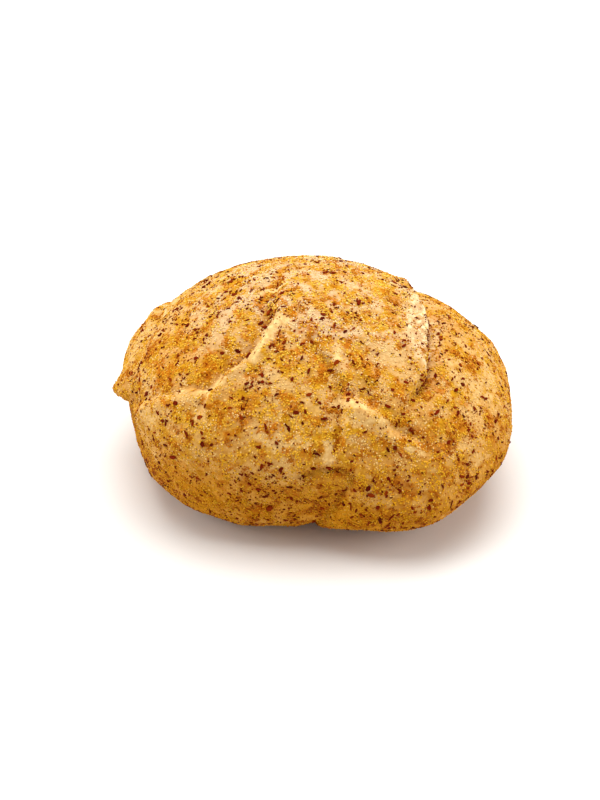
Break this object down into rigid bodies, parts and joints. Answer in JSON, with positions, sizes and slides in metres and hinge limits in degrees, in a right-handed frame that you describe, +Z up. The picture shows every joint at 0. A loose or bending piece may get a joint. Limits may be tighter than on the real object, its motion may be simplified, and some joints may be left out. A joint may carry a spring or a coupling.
{
  "type": "bread roll",
  "caption": "Hand-shaped bread roll, folded over itself, with a maize-meal and bran crust and a flat baked underside.",
  "frame": {"origin": "on the surface that the roll lies on, under the middle of its bounding box", "axes": "+Z up, +X along the roll's width as the picture shows it, to the right, +Y away from the viewer"},
  "size_m": [0.1002, 0.0836, 0.0565],
  "materials": {
    "crust": "matte baked crust with maize meal and bran flakes"
  },
  "bodies": {
    "root": {"bun": "crust"}
  },
  "joints": []
}
